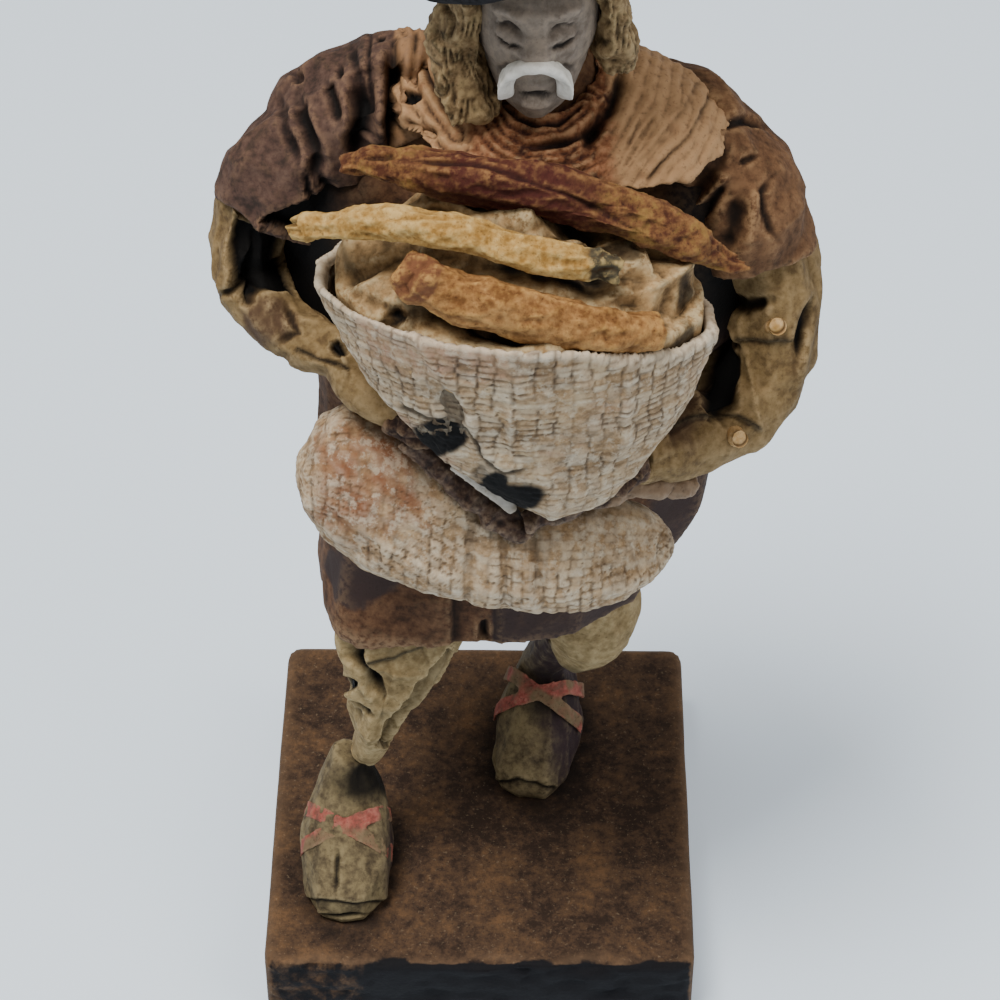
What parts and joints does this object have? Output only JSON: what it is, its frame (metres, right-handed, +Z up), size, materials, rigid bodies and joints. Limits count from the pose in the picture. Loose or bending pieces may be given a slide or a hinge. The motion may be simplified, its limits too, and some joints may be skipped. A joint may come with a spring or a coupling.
{
  "type": "papier-mache figure",
  "caption": "Standing papier-mache figure of an old man in a coat, scarf and hat, who carries a sack of bark sticks, on a square wooden base.",
  "frame": {"origin": "centre of the base's underside", "axes": "+Z up, the figure faces -Y, +X to the viewer's right as the viewer faces the figure"},
  "size_m": [0.1111, 0.0984, 0.265],
  "materials": {
    "base": "brown paint, worn",
    "boots": "painted crumpled paper",
    "boot_straps": "faded red",
    "coat": "brown stiffened paper",
    "trousers": "tan stiffened paper",
    "skin": "grey painted",
    "moustache": "white painted",
    "hat": "black painted",
    "hair": "twisted khaki paper",
    "scarf": "reddish crumpled paper",
    "dark_sleeve": "dark brown pleated paper",
    "brown_sleeve": "brown creased paper",
    "shirt": "tan faceted paper",
    "button": "tan disc",
    "bark_red": "red-brown bark",
    "bark_yellow": "yellow bark",
    "bark_orange": "orange bark",
    "sacking": "woven-patterned paper",
    "lining": "crumpled tan paper",
    "hands": "crumpled brown paper",
    "straps": "twisted brown paper"
  },
  "bodies": {
    "root": {"base": "base", "boot_left": "boots", "boot_right": "boots", "straps_on_left_boot": "boot_straps", "straps_on_right_boot": "boot_straps", "coat": "coat", "trouser_left": "trousers", "trouser_right": "trousers", "head": "skin", "moustache": "moustache", "hat": "hat", "hair_back": "hair", "hair_left": "hair", "hair_right": "hair", "scarf": "scarf", "sleeve_left": "dark_sleeve", "sleeve_right": "brown_sleeve", "shirt_sleeve_left": "shirt", "shirt_sleeve_right": "shirt", "button_upper": "button", "button_lower": "button", "stick_back": "bark_red", "stick_middle": "bark_yellow", "stick_front": "bark_orange", "sack_upper": "sacking", "sack_lining": "lining", "hand_left": "hands", "hand_right": "hands", "strap_left": "straps", "strap_right": "straps", "sack_flap": "sacking", "sack_lower": "sacking"}
  },
  "joints": []
}
